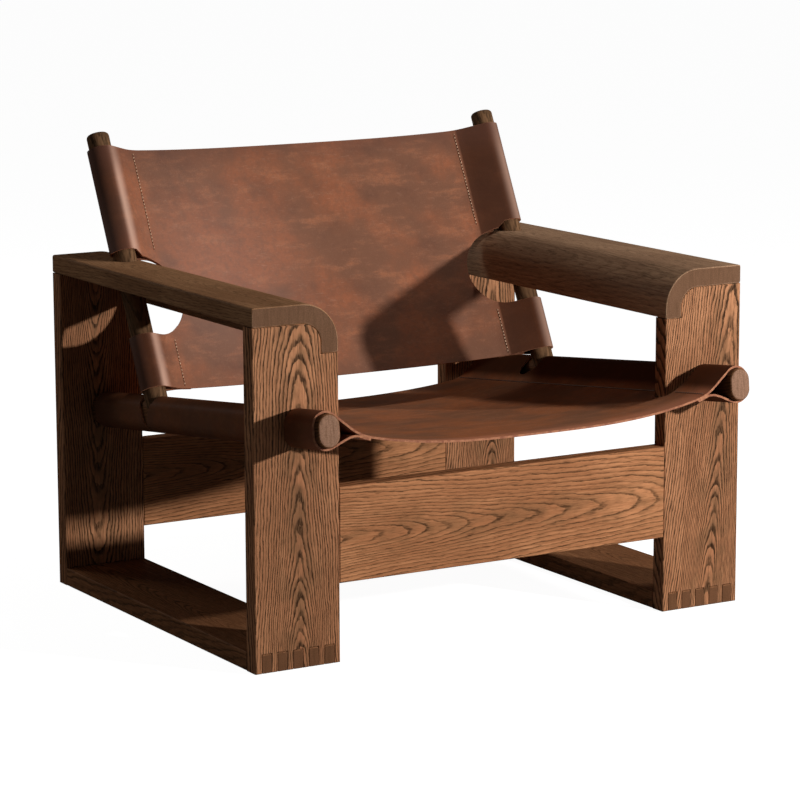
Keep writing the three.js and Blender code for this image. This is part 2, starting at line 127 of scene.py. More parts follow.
def toned(tree, colour, tone, hue, richness):
    """A colour made lighter or darker, turned and made richer or duller."""
    return finish_step(tree, "ShaderNodeHueSaturation", {
        "Value": tone, "Hue": hue, "Saturation": richness, "Color": colour}).outputs[0]


def eased_edge(tree, radius):
    """The way the surface faces, rounded over near edges, and how well it agrees with the flat."""
    eased = finish_step(tree, "ShaderNodeBevel", {"Radius": radius}, samples=4)
    flat = finish_step(tree, "ShaderNodeNewGeometry")
    bent = finish_step(tree, "ShaderNodeVectorMath",
                       {0: eased.outputs[0], 1: flat.outputs["True Normal"]},
                       operation="DOT_PRODUCT")
    return eased.outputs[0], bent.outputs["Value"]


def waxed(shader, share, roughness):
    """A thin coat of wax, which is all the gloss that the finish has."""
    shader.inputs["Specular IOR Level"].default_value = 0.0
    shader.inputs["Coat Weight"].default_value = share
    shader.inputs["Coat Roughness"].default_value = roughness
    shader.inputs["Coat IOR"].default_value = WAX_IOR


def stained_oak(name, grain, face, heart, tone=1.0, hue=0.5, richness=1.0, figure=1.0,
                ring_width=RING_WIDTH, ring_share=0.52, end_colour=FINGER_END, rub=0.12):
    """Oak whose rings run round a heart line along the grain and close in arches towards the heart
    point; face is the side the board shows, figure how strongly its rings do, ring share how much
    of a ring is dark, and rub how far the stain is worn off its edges. Tone, hue and richness turn
    the stain."""
    oak, tree, shader = new_finish(name)
    grain = Vector(grain).normalized()
    face = Vector(face).normalized()
    turn = Matrix((face.cross(grain), face, grain))
    spot = finish_step(tree, "ShaderNodeTexCoord")
    log = finish_step(tree, "ShaderNodeMapping", {
        "Vector": spot.outputs["Object"], "Location": -(turn @ Vector(heart)),
        "Rotation": turn.to_euler()}).outputs[0]
    run = finish_step(tree, "ShaderNodeSeparateXYZ", {0: log})
    level = finish_step(tree, "ShaderNodeVectorMath", {0: log, 1: (1.0, 1.0, 0.0)},
                        operation="MULTIPLY")
    radius = finish_step(tree, "ShaderNodeVectorMath", {0: level.outputs[0]}, operation="LENGTH")

    swell = cloud(tree, log, (1.0, 1.0, 0.35), size=0.10, detail=1.0)
    waver = cloud(tree, log, (1.0, 1.0, 0.45), size=0.015, detail=3.0)
    off_heart = sum_of(tree, "POWER", sum_of(tree, "DIVIDE", run.outputs[0], HEART_SPREAD), 2.0)
    near_heart = sum_of(tree, "EXPONENT", sum_of(tree, "MULTIPLY", off_heart, -1.0))
    taper = sum_of(tree, "MULTIPLY_ADD", near_heart, HEART_TAPER, OUTER_TAPER)
    growth = sum_of(tree, "MULTIPLY_ADD", run.outputs[2], taper, radius.outputs["Value"])
    growth = sum_of(tree, "MULTIPLY_ADD", swell, SWELL, growth)
    growth = sum_of(tree, "MULTIPLY_ADD", waver, WAVER, growth)
    growth = sum_of(tree, "DIVIDE", growth, ring_width)
    within = sum_of(tree, "FRACT", growth)
    year = finish_step(tree, "ShaderNodeTexWhiteNoise",
                       {"W": sum_of(tree, "FLOOR", growth)}, noise_dimensions="1D")
    strength = step_between(tree, year.outputs["Value"], 0.0, 1.0, 0.60, 1.0)
    strength = sum_of(tree, "MULTIPLY", strength, figure)
    opening = step_between(tree, within, 0.0, 0.08)
    closing = step_between(tree, within, 0.4 * ring_share, ring_share, 1.0, 0.0)
    band = sum_of(tree, "MULTIPLY", sum_of(tree, "MULTIPLY", opening, closing), strength)
    dull = sum_of(tree, "MULTIPLY", step_between(tree, within, 0.30, 0.80, 1.0, 0.0), strength)

    pores = step_between(tree, cloud(tree, log, (1.0, 1.0, 0.15), size=0.0018), 0.45, 0.57)
    fine_pores = step_between(tree, cloud(tree, log, (1.0, 1.0, 0.045), size=0.0011), 0.53, 0.66)
    streak = cloud(tree, log, (1.0, 1.0, 0.03), size=0.0042, detail=3.0)
    drift = cloud(tree, log, (1.0, 1.0, 0.4), size=0.09)
    warm_share = step_between(tree, sum_of(tree, "ADD", streak, drift), 0.78, 1.20)
    colour = blended(tree, warm_share, OAK_PALE, OAK_WARM)
    colour = blended(tree, sum_of(tree, "MULTIPLY", dull, DULL_SHARE), colour, OAK_OLIVE)
    heart_patches = step_between(tree, cloud(tree, log, (1.0, 1.0, 0.5), size=0.022), 0.42, 0.62,
                                 0.0, HEART_STAIN * figure)
    colour = blended(tree, sum_of(tree, "MULTIPLY", near_heart, heart_patches), colour, OAK_OLIVE)
    colour = blended(tree, sum_of(tree, "MULTIPLY", band, BAND_SHARE), colour, OAK_BAND)
    band_pores = sum_of(tree, "MULTIPLY", pores, sum_of(tree, "MULTIPLY_ADD", band, 0.92, 0.08))
    colour = blended(tree, band_pores, colour, OAK_PORE)
    colour = blended(tree, sum_of(tree, "MULTIPLY", fine_pores, FINE_PORE_SHARE), colour, OAK_PORE)
    colour = toned(tree, colour, tone, hue, richness)

    faced = finish_step(tree, "ShaderNodeVectorMath",
                        {0: spot.outputs["Normal"], 1: grain}, operation="DOT_PRODUCT")
    sawn = step_between(tree, sum_of(tree, "ABSOLUTE", faced.outputs["Value"]), 0.80, 0.97)
    speckle = step_between(
        tree, cloud(tree, log, (1.0, 1.0, 1.0), size=0.0016, detail=4.0), 0.36, 0.66)
    rays = step_between(
        tree, cloud(tree, log, (1.0, 0.10, 1.0), size=0.0045, detail=3.0), 0.40, 0.70)
    for marks, marks_share in ((speckle, SPECKLE_SHARE), (rays, RAY_SHARE)):
        marked = sum_of(tree, "MULTIPLY", marks, marks_share)
        end_colour = blended(tree, marked, end_colour, OAK_BAND)
    colour = blended(tree, sawn, colour, end_colour)

    eased, bent = eased_edge(tree, EDGE_EASE)
    rubbed = step_between(tree, bent, 0.90, 0.985, rub, 0.0)
    rubbed = sum_of(tree, "MULTIPLY", rubbed,
                    step_between(tree, cloud(tree, log, (1.0, 1.0, 0.3), size=0.02), 0.35, 0.65))
    colour = blended(tree, rubbed, colour, OAK_RUBBED_EDGE)
    tree.links.new(colour, shader.inputs["Base Color"])

    matt = step_between(tree, band_pores, 0.0, 1.0, 0.46, 0.72)
    tree.links.new(matt, shader.inputs["Roughness"])
    depth = sum_of(tree, "MULTIPLY_ADD", fine_pores, 0.4, sum_of(tree, "ADD", band_pores, band))
    lines = sum_of(tree, "MULTIPLY", depth, sum_of(tree, "SUBTRACT", 1.0, sawn))
    relief = finish_step(tree, "ShaderNodeBump", {
        "Strength": 0.30, "Distance": 0.0005, "Height": lines, "Normal": eased}, invert=True)
    tree.links.new(relief.outputs[0], shader.inputs["Normal"])
    waxed(shader, OAK_WAX, OAK_WAX_ROUGHNESS)
    return oak


def dress(node, finish):
    """Puts a finish on a solid as it stands."""
    for place in chair[node].material_slots:
        place.material = finish


for side, across in SIDES:
    low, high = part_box("runner_" + side)
    heart = ((low.x + high.x) / 2 + RUNNER_HEART_OFF * across, high.y, low.z - RUNNER_HEART_BELOW)
    dress("runner_" + side, stained_oak("runner_oak_" + side, (0, 1, 0), (0, 0, 1), heart,
                                        tone=0.74, figure=0.45))

# Posts: four upright oak boards, broad side to the front, that close the side frames. Their feet
# are cut into fingers for the runners and their tops are pinned and glued under the arms.
POST_HEARTS = {
    "front_right": (0.062, 0.050, 1, 0.085), "front_left": (0.004, 0.055, 1, 0.0),
    "rear_right": (0.024, 0.050, 1, 0.0), "rear_left": (-0.010, 0.048, -1, 0.0)}
for post, (off_middle, behind_face, arches_up, lean) in POST_HEARTS.items():
    end, side = post.split("_")
    low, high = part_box(f"{end}_post_{side}")
    heart = ((low.x + high.x) / 2 + off_middle, low.y + behind_face,
             (high.z if arches_up > 0 else low.z) + off_middle)
    dress(f"{end}_post_{side}",
          stained_oak("post_oak_" + post, (lean, 0, arches_up), (0, -1, 0), heart, tone=1.16,
                      richness=0.97))

# Arms: a wide oak board on each side whose inner edge is built up and rounded over into a lip that
# hangs down inside the posts. Worked from one glued blank, so the grain runs through the bend.
ARM_END = (0.168, 0.086, 0.048, 1.0)
# The right arm's lighter, duller stain is painted sheen on its top; the left arm's is the oak's own
# stain.
ARM_STAINS_AND_PAINTED_SHEEN = {"right": (1.04, 0.512, 0.82), "left": (0.89, 0.508, 0.94)}
ARM_HEART_OFF = 0.012
ARM_HEART_BELOW = 0.110
for side, across in SIDES:
    tone, hue, richness = ARM_STAINS_AND_PAINTED_SHEEN[side]
    low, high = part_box("arm_" + side)
    heart = ((low.x + high.x) / 2 + ARM_HEART_OFF * across, high.y, high.z - ARM_HEART_BELOW)
    dress("arm_" + side, stained_oak("arm_oak_" + side, (0, 1, 0), (0, 0, 1), heart,
                                     tone=tone, hue=hue, richness=richness, figure=0.20,
                                     end_colour=ARM_END, rub=0.75))

# Rails: two wide oak boards on edge, pinned and glued between the posts, the rear one set lower.
# Their arches lie along the chair.
RAIL_HEARTS = (("front", -0.006), ("rear", 0.012))
RAIL_HEART_PAST_END = 0.02
RAIL_HEART_BEHIND = 0.055
RAIL_RING_WIDTH = 0.0056
RAIL_RING_SHARE = 0.34
for end, above_middle in RAIL_HEARTS:
    low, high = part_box(end + "_rail")
    heart = (high.x + RAIL_HEART_PAST_END, low.y + RAIL_HEART_BEHIND,
             (low.z + high.z) / 2 + above_middle)
    dress(end + "_rail", stained_oak(f"rail_oak_{end}", (1, 0, 0), (0, -1, 0), heart,
                                     tone=1.20, figure=0.66, ring_width=RAIL_RING_WIDTH,
                                     ring_share=RAIL_RING_SHARE))

# Pins: beech dowel pins hidden in the joints between rails and posts and between arms and posts.
# Bare wood, driven in with glue.
BEECH_PALE = (0.56, 0.36, 0.21, 1.0)
BEECH_FLECK = (0.34, 0.18, 0.09, 1.0)
beech, beech_tree, beech_shader = new_finish("bare_beech")
beech_spot = finish_step(beech_tree, "ShaderNodeTexCoord").outputs["Object"]
beech_flecks = step_between(
    beech_tree, cloud(beech_tree, beech_spot, (1.0, 1.0, 1.0), size=0.0018), 0.50, 0.66)
beech_colour = blended(beech_tree, beech_flecks, BEECH_PALE, BEECH_FLECK)
beech_tree.links.new(beech_colour, beech_shader.inputs["Base Color"])
beech_shader.inputs["Roughness"].default_value = 0.62
for node in chair:
    if "_pin_" in node:
        dress(node, beech)

# Glides: four low moulded nylon feet pressed under the ends of the runners, which keep the oak a
# hair off the floor. Dark brown, with a fine spark-eroded grain.
GLIDE_BROWN = (0.020, 0.014, 0.010, 1.0)
GLIDE_SCUFFED = (0.060, 0.047, 0.038, 1.0)
nylon, nylon_tree, nylon_shader = new_finish("glide_nylon")
nylon_spot = finish_step(nylon_tree, "ShaderNodeTexCoord").outputs["Object"]
nylon_scuffs = step_between(
    nylon_tree, cloud(nylon_tree, nylon_spot, (1.0, 1.0, 1.0), size=0.004, detail=4.0), 0.48, 0.70)
nylon_tree.links.new(blended(nylon_tree, nylon_scuffs, GLIDE_BROWN, GLIDE_SCUFFED),
                     nylon_shader.inputs["Base Color"])
nylon_grain = finish_step(nylon_tree, "ShaderNodeBump", {
    "Strength": 0.25, "Distance": 0.0002,
    "Height": cloud(nylon_tree, nylon_spot, (1.0, 1.0, 1.0), size=0.0006)})
nylon_tree.links.new(nylon_grain.outputs[0], nylon_shader.inputs["Normal"])
nylon_shader.inputs["Roughness"].default_value = 0.58
for end in ("front", "rear"):
    for side, _ in SIDES:
        dress(f"{end}_glide_{side}", nylon)

# Seat bars: two oblong oak bars that slope down to the rear through the posts and carry the seat.
# They stand out in front of the posts, where their sawn ends show.
BAR_SLOPE = math.radians(6.45)
BAR_X = 0.368
BAR_AXIS_HEIGHT = 0.367
POST_FRONT_Y = -0.29411
BAR_END = (0.285, 0.155, 0.098, 1.0)
BAR_HEART_OFF = 0.006
BAR_HEART_BELOW = 0.022
bar_way = (0.0, math.cos(BAR_SLOPE), -math.sin(BAR_SLOPE))
bar_top = (0.0, math.sin(BAR_SLOPE), math.cos(BAR_SLOPE))
for side, across in SIDES:
    heart = (BAR_X * across - BAR_HEART_OFF, POST_FRONT_Y, BAR_AXIS_HEIGHT - BAR_HEART_BELOW)
    dress("seat_bar_" + side,
          stained_oak("bar_oak_" + side, bar_way, bar_top, heart, tone=0.46, figure=0.35,
                      end_colour=BAR_END))

# Back dowels: two turned oak dowels that lean back through the arms and stand on a tenon in the
# seat bars. They carry the back, and their tops show above it.
DOWEL_LEAN = math.radians(26.25)
DOWEL_FOOT_Y = 0.15701
DOWEL_FOOT_HEIGHT = 0.31600
DOWEL_HEART_OFF = 0.030
dowel_way = (0.0, math.sin(DOWEL_LEAN), math.cos(DOWEL_LEAN))
dowel_front = (0.0, -math.cos(DOWEL_LEAN), math.sin(DOWEL_LEAN))
for side, across in SIDES:
    heart = (BAR_X * across + DOWEL_HEART_OFF, DOWEL_FOOT_Y + DOWEL_HEART_OFF, DOWEL_FOOT_HEIGHT)
    dress("back_dowel_" + side,
          stained_oak("dowel_oak_" + side, dowel_way, dowel_front, heart, tone=0.46,
                      hue=0.509, richness=0.92, figure=0.55))

# Seat: one sheet of thick saddle leather hung between the bars. Each side edge is folded round its
# bar and sewn back under the seat as a sleeve; the sleeves are notched for the front posts and
# slotted for the back dowels. Pull-up leather, red brown with darker clouds, raw at its cut edges.
LEATHER_THICK = 0.0033
LEATHER_EASE = 0.0009
HIDE_RED = (0.300, 0.094, 0.046, 1.0)
HIDE_BROWN = (0.190, 0.078, 0.046, 1.0)
HIDE_DARK = (0.105, 0.045, 0.031, 1.0)
HIDE_WARM = (0.370, 0.125, 0.060, 1.0)
HIDE_RUBBED = (0.430, 0.215, 0.145, 1.0)
# Painted shade: darkens the sides of the sleeves that turn away from the lamps or lie in shadow.
HIDE_PAINTED_SHADE = (0.056, 0.019, 0.009, 1.0)
# Painted highlight: a light stripe along the crest of each of the back's sleeves.
HIDE_PAINTED_HIGHLIGHT = (0.640, 0.400, 0.300, 1.0)
# Painted light: lightens the seat's front lip, where light falls past the posts.
HIDE_PAINTED_LIGHT = (0.600, 0.230, 0.125, 1.0)
CUT_EDGE_TAN = (0.400, 0.172, 0.092, 1.0)
CUT_EDGE_BROWN = (0.240, 0.090, 0.052, 1.0)
LEATHER_WAX_ROUGHNESS = 0.34
CRAZING_PER_METRE = 260.0
GRAIN_PER_METRE = 620.0
LAYER_GAP = 0.0002
HEM = 0.022
SEAM_ROUNDING = 0.018
SLEEVE_RADIUS = 0.0191 + LEATHER_THICK / 2
SLEEVE_LEAVES = math.radians(-105)
SLEEVE_SLACK = 0.36
PANEL_STEPS = 44
SEAM_STEPS = 12
RISE_STEPS = 6
OVER_STEPS = 22
UNDER_STEPS = 20
RETURN_STEPS = 14
SEAT_SEAM_X = 0.312
SEAT_SEAM_DROP = 0.012
SEAT_SLEEVE_RISE = 0.007
SEAT_FRONT = -0.090
SEAT_REAR = 0.64638
SEAT_ROWS = 124
SEAT_SAG_REAR = 0.015
SEAT_SAG_GAIN = 0.013
SEAT_SAG_BELLY = 0.028
SAG_POWER = 3
NOTCH_Y = -0.27961
NOTCH_HALF = 0.0175
NOTCH_INNER_X = 0.284
NOTCH_KNIFE_FOOT = 0.27
NOTCH_KNIFE_HEIGHT = 0.2
SLOT_PLACE = 0.46458
SLOT_HALF = 0.02266
SLOT_INNER_X = 0.325
SLOT_OUTER_X = BAR_X + 0.0188
SLOT_FLOOR = -0.006
SLOT_KNIFE_HEIGHT = 0.1
SLIT_REACH = 0.02646
SLIT_INNER_X = BAR_X + 0.012
SLIT_KNIFE_TOP = 0.05
SLIT_KNIFE_WIDTH = 0.06
KNIFE_OUTER_X = BAR_X + 0.08
ROUND_TIP = [math.radians(turn) for turn in range(90, 271, 12)]
SHARP_FOLD = math.radians(40)
ACROSS, BACKWARD, UPWARD = 0, 1, 2
# Painted light on the seat: a lighter front lip, and painted shade on both sleeves, which turn from
# the lamps and lie in the arms' shadow.
SEAT_PAINTED_LIGHT = (
    (BACKWARD, -0.325, -0.372, None, HIDE_PAINTED_LIGHT, 0.62),
    (ACROSS, -0.322, -0.336, None, HIDE_PAINTED_SHADE, 0.62),
    (ACROSS, 0.313, 0.330, None, HIDE_PAINTED_SHADE, 0.88))


def ramp_along(tree, value, nought, full, share):
    """A share that grows from none at one place to its full amount at another, either way round."""
    if full > nought:
        return step_between(tree, value, nought, full, 0.0, share)
    return step_between(tree, value, full, nought, share, 0.0)


def saddle_leather(name, shift, clouding, brushing, shade, colour_strips, polish, sheen=None):
    """Waxed pull-up leather. Shift moves its clouds so that no two sheets are alike, clouding and
    brushing are the strength of its dark clouds and warm streaks, and shade its tone, hue and
    richness. Colour strips lists bands laid on the colour, most of them painted shade and painted
    highlight, each with the way it is counted, where it starts, is full and, if it does, ends, its
    colour and its share. Polish is the share of wax on the leather, and sheen a place that is
    rubbed brighter, its reach and its share."""
    hide, tree, shader = new_finish(name)
    spot = finish_step(tree, "ShaderNodeTexCoord")
    skin = finish_step(tree, "ShaderNodeMapping",
                       {"Vector": spot.outputs["Object"], "Location": shift}).outputs[0]
    even = (1.0, 1.0, 1.0)
    wide = cloud(tree, skin, even, size=0.13, detail=3.0, roughness=0.60)
    patches = cloud(tree, skin, (1.0, 1.0, 1.3), size=0.085, detail=6.0, roughness=0.60)
    brushed = cloud(tree, skin, (0.45, 1.0, 1.6), size=0.030, detail=6.0, roughness=0.66)
    mottle = cloud(tree, skin, even, size=0.008, detail=4.0, roughness=0.6)
    specks = step_between(tree, cloud(tree, skin, even, size=0.0024), 0.63, 0.72)
    scuffs = step_between(tree, cloud(tree, skin, (0.5, 1.0, 1.3), size=0.014, detail=5.0,
                                      roughness=0.7), 0.60, 0.74)
    colour = blended(tree, step_between(tree, wide, 0.36, 0.62), HIDE_RED, HIDE_BROWN)
    streaks = step_between(tree, brushed, 0.50, 0.70, 0.0, brushing)
    colour = blended(tree, streaks, colour, HIDE_WARM)
    clouds = step_between(tree, patches, 0.44, 0.72, 0.0, clouding)
    colour = blended(tree, clouds, colour, HIDE_DARK)
    colour = blended(tree, step_between(tree, mottle, 0.40, 0.68, 0.0, 0.50), colour, HIDE_BROWN)
    hairs = step_between(tree, cloud(tree, skin, (1.0, 1.0, 0.14), size=0.0016), 0.58, 0.70)
    nicks = step_between(tree, cloud(tree, skin, (0.12, 1.0, 1.0), size=0.0018), 0.62, 0.72)
    colour = blended(tree, sum_of(tree, "MULTIPLY", hairs, 0.10), colour, HIDE_RUBBED)
    nicked = sum_of(tree, "MULTIPLY", nicks, step_between(tree, wide, 0.40, 0.58, 0.30, 0.06))
    colour = blended(tree, nicked, colour, HIDE_RUBBED)
    colour = blended(tree, sum_of(tree, "MULTIPLY", specks, 0.14), colour, HIDE_RUBBED)
    colour = blended(tree, sum_of(tree, "MULTIPLY", scuffs, 0.20), colour, HIDE_RUBBED)
    crazing = finish_step(tree, "ShaderNodeTexVoronoi",
                          {"Vector": skin, "Scale": CRAZING_PER_METRE}, feature="DISTANCE_TO_EDGE")
    cracks = sum_of(tree, "MULTIPLY", step_between(tree, crazing.outputs[0], 0.0, 0.10, 0.14, 0.0),
                    step_between(tree, brushed, 0.46, 0.60))
    colour = blended(tree, cracks, colour, HIDE_RUBBED)
    colour = toned(tree, colour, *shade)
    ways = finish_step(tree, "ShaderNodeSeparateXYZ", {0: spot.outputs["Object"]}).outputs
    # Bands laid over the colour, most of them painted shade and painted highlight.
    for way, starts, full, ends, tint, share in colour_strips:
        strip_share = ramp_along(tree, ways[way], starts, full, share)
        if ends is not None:
            strip_share = sum_of(tree, "MULTIPLY", strip_share, ramp_along(tree, ways[way], ends, full, 1.0))
        colour = blended(tree, strip_share, colour, tint)
    _, bent = eased_edge(tree, LEATHER_EASE)
    rubbed = step_between(tree, bent, 0.88, 0.985, 0.65, 0.0)
    colour = blended(tree, rubbed, colour, CUT_EDGE_TAN)
    tree.links.new(colour, shader.inputs["Base Color"])
    cells = finish_step(tree, "ShaderNodeTexVoronoi",
                        {"Vector": skin, "Scale": GRAIN_PER_METRE}, feature="DISTANCE_TO_EDGE")
    grain = step_between(tree, cells.outputs[0], 0.02, 0.20)
    height = sum_of(tree, "MULTIPLY_ADD", mottle, 0.8, sum_of(tree, "MULTIPLY", grain, 0.35))
    for socket, strength in (("Normal", 0.22), ("Coat Normal", 0.10)):
        relief = finish_step(tree, "ShaderNodeBump", {
            "Strength": strength, "Distance": 0.0008, "Height": height})
        tree.links.new(relief.outputs[0], shader.inputs[socket])
    shader.inputs["Roughness"].default_value = 0.46
    waxed(shader, polish, LEATHER_WAX_ROUGHNESS)
    if sheen is not None:
        middle, reach, share = sheen
        off = finish_step(tree, "ShaderNodeVectorMath", {0: spot.outputs["Object"], 1: middle},
                          operation="DISTANCE")
        tree.links.new(step_between(tree, off.outputs["Value"], 0.0, reach, share, polish),
                       shader.inputs["Coat Weight"])
    return hide


def cut_leather_edge():
    """The raw tan edge that a knife leaves, browner where its fibres lie close."""
    edge, tree, shader = new_finish("cut_leather_edge")
    spot = finish_step(tree, "ShaderNodeTexCoord").outputs["Object"]
    fibres = step_between(
        tree, cloud(tree, spot, (1.0, 1.0, 1.0), size=0.0060, detail=4.0), 0.36, 0.68)
    tree.links.new(blended(tree, fibres, CUT_EDGE_TAN, CUT_EDGE_BROWN),
                   shader.inputs["Base Color"])
    relief = finish_step(tree, "ShaderNodeBump", {
        "Strength": 0.3, "Distance": 0.0005, "Height": fibres})
    tree.links.new(relief.outputs[0], shader.inputs["Normal"])
    shader.inputs["Roughness"].default_value = 0.78
    shader.inputs["Specular IOR Level"].default_value = 0.05
    return edge


def spaced(first, last, count):
    """Even steps from first up to, but not including, last."""
    return [first + (last - first) * i / count for i in range(count)]


def sling_section(sag, seam_x, seam_y, rise):
    """Middle line of the leather from the centre of the panel out to the seam, over and round the
    wood and back under the seam to the hem's end; and the place of the seam in it. The wood's two
    round ends lie the rise above and below its axis."""
    def panel(x):
        return Vector((x, seam_y - sag * (1.0 - (abs(x) / seam_x) ** SAG_POWER)))

    def on_sleeve(middle_y, angle):
        return Vector((BAR_X + SLEEVE_RADIUS * math.cos(angle),
                       middle_y + SLEEVE_RADIUS * math.sin(angle)))

    seam = Vector((seam_x, seam_y))
    reach = Vector((BAR_X, rise)) - seam
    climb = math.atan2(reach.y, reach.x) + math.asin(SLEEVE_RADIUS / reach.length)
    touch = climb + math.pi / 2
    upper = on_sleeve(rise, touch)
    before = panel(seam_x - SEAM_ROUNDING)
    after = seam + SEAM_ROUNDING * (upper - seam).normalized()
    line = [panel(x) for x in spaced(0.0, seam_x - SEAM_ROUNDING, PANEL_STEPS)]
    line += [before * (1 - t) ** 2 + seam * (2 * t * (1 - t)) + after * t ** 2
             for t in spaced(0.0, 1.0, SEAM_STEPS)]
    sewn = PANEL_STEPS + SEAM_STEPS // 2 - 1
    line += [after.lerp(upper, t) for t in spaced(0.0, 1.0, RISE_STEPS)]
    line += [on_sleeve(rise, a) for a in spaced(touch, 0.0, OVER_STEPS)]
    line += [on_sleeve(-rise, a) for a in spaced(0.0, SLEEVE_LEAVES, UNDER_STEPS)]
    lower = on_sleeve(-rise, SLEEVE_LEAVES)
    fold = Vector((0.0, LEATHER_THICK + LAYER_GAP))
    sewn_under = line[sewn] - fold
    drawn = Vector((math.sin(SLEEVE_LEAVES), -math.cos(SLEEVE_LEAVES)))
    slack = SLEEVE_SLACK * (lower - sewn_under).length
    slope = (line[sewn + 1] - line[sewn - 1]).normalized()
    pulls = (lower, lower + drawn * slack, sewn_under + slope * slack, sewn_under)
    line += [pulls[0] * (1 - t) ** 3 + pulls[1] * (3 * t * (1 - t) ** 2)
             + pulls[2] * (3 * t * t * (1 - t)) + pulls[3] * t ** 3
             for t in spaced(0.0, 1.0, RETURN_STEPS)]
    hem_line = [line[i] for i in range(sewn, 0, -1) if line[i].x > seam_x - HEM]
    line += [point - fold for point in hem_line]
    return line, sewn


def set_down(name, shape):
    """A new object in the scene."""
    thing = bpy.data.objects.new(name, shape)
    bpy.context.scene.collection.objects.link(thing)
    return thing


def sling_sheet(name, rows, finishes, cutters):
    """A sheet through rows of points, given its thickness and cut by the cutters' outlines."""
    build = bmesh.new()
    grid = [[build.verts.new(point) for point in row] for row in rows]
    for near, far in zip(grid, grid[1:]):
        for i in range(len(near) - 1):
            build.faces.new((near[i], near[i + 1], far[i + 1], far[i]))
    for strip in build.faces:
        strip.smooth = True
    shape = bpy.data.meshes.new(name)
    build.to_mesh(shape)
    build.free()
    for finish in finishes:
        shape.materials.append(finish)
    sheet = set_down(name, shape)
    body = sheet.modifiers.new("thickness", "SOLIDIFY")
    body.thickness = LEATHER_THICK
    body.offset = 0.0
    body.use_even_offset = True
    body.material_offset_rim = 1
    knife = cutter_blades(name + "_knife", cutters, finishes)
    cut = sheet.modifiers.new("cut", "BOOLEAN")
    cut.operation = "DIFFERENCE"
    cut.solver = "EXACT"
    cut.use_self = True
    cut.object = knife
    seen = bpy.context.evaluated_depsgraph_get()
    finished = bpy.data.meshes.new_from_object(sheet.evaluated_get(seen))
    sheet.modifiers.clear()
    sheet.data = finished
    finished.name = name
    bpy.data.objects.remove(knife)
    finished.set_sharp_from_angle(angle=SHARP_FOLD)
    return sheet


def cutter_blades(name, outlines, finishes):
    """Closed prisms for the cut-outs, each an outline moved through one straight way."""
    build = bmesh.new()
    for outline, way in outlines:
        near = [build.verts.new(point) for point in outline]
        far = [build.verts.new(Vector(point) + Vector(way)) for point in outline]
        build.faces.new(near)
        build.faces.new(far[::-1])
        for i in range(len(near)):
            j = (i + 1) % len(near)
            build.faces.new((near[j], near[i], far[i], far[j]))
    bmesh.ops.recalc_face_normals(build, faces=build.faces)
    for side in build.faces:
        side.material_index = 1
    shape = bpy.data.meshes.new(name)
    build.to_mesh(shape)
    build.free()
    for finish in finishes:
        shape.materials.append(finish)
    return set_down(name, shape)


def mirrored(half):
    """The whole line across the chair, from a half line that starts in the middle."""
    return [Vector((-p.x, p.y)) for p in half[:0:-1]] + half


def at_seat(x, along, up):
    """A place given across the chair, along the bars from the posts' front, and square to them."""
    return Vector((x,
                   POST_FRONT_Y + along * bar_way[1] + up * bar_top[1],
                   BAR_AXIS_HEIGHT + along * bar_way[2] + up * bar_top[2]))


def seat_sag(along):
    forward = (SEAT_REAR - along) / (SEAT_REAR - SEAT_FRONT)
    return SEAT_SAG_REAR + SEAT_SAG_GAIN * forward + SEAT_SAG_BELLY * forward * (1 - forward)


def seat_section(along):
    return sling_section(seat_sag(along), SEAT_SEAM_X, -SEAT_SEAM_DROP, SEAT_SLEEVE_RISE)


seat_rows = []
for along in spaced(SEAT_FRONT, SEAT_REAR, SEAT_ROWS) + [SEAT_REAR]:
    half_line, _ = seat_section(along)
    seat_rows.append([at_seat(p.x, along, p.y) for p in mirrored(half_line)])

seat_cuts = []
for _, across in SIDES:
    notch = [(across * (NOTCH_INNER_X + NOTCH_HALF + NOTCH_HALF * math.cos(a)),
              NOTCH_Y + NOTCH_HALF * math.sin(a), NOTCH_KNIFE_FOOT) for a in ROUND_TIP]
    notch += [(across * KNIFE_OUTER_X, NOTCH_Y - NOTCH_HALF, NOTCH_KNIFE_FOOT),
              (across * KNIFE_OUTER_X, NOTCH_Y + NOTCH_HALF, NOTCH_KNIFE_FOOT)]
    seat_cuts.append((notch, (0.0, 0.0, NOTCH_KNIFE_HEIGHT)))
    slot = [at_seat(across * (SLOT_INNER_X + SLOT_HALF + SLOT_HALF * math.cos(a)),
                    SLOT_PLACE + SLOT_HALF * math.sin(a), SLOT_FLOOR) for a in ROUND_TIP]
    slot += [at_seat(across * SLOT_OUTER_X, SLOT_PLACE - SLOT_HALF, SLOT_FLOOR),
             at_seat(across * SLOT_OUTER_X, SLOT_PLACE + SLOT_HALF, SLOT_FLOOR)]
    seat_cuts.append((slot, SLOT_KNIFE_HEIGHT * Vector(bar_top)))
    slit_outline = ((-SLOT_HALF, SLIT_KNIFE_TOP), (-SLOT_HALF, SLIT_REACH), (0.0, -SLIT_REACH),
                    (SLOT_HALF, SLIT_REACH), (SLOT_HALF, SLIT_KNIFE_TOP))
    slit = [at_seat(across * SLIT_INNER_X, SLOT_PLACE + along, up) for along, up in slit_outline]
    seat_cuts.append((slit, (across * SLIT_KNIFE_WIDTH, 0.0, 0.0)))

edge_leather = cut_leather_edge()
# Painted light: the seat is toned lighter than the back, though it is the same leather.
seat_hide = saddle_leather("seat_leather", shift=(0.0, 0.0, 0.0), clouding=0.18, brushing=0.30,
                           shade=(1.34, 0.507, 1.02), colour_strips=SEAT_PAINTED_LIGHT, polish=0.008)
seat = sling_sheet("seat_leather_sling", seat_rows, (seat_hide, edge_leather), seat_cuts)
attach(seat, "root")
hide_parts("seat_sling")

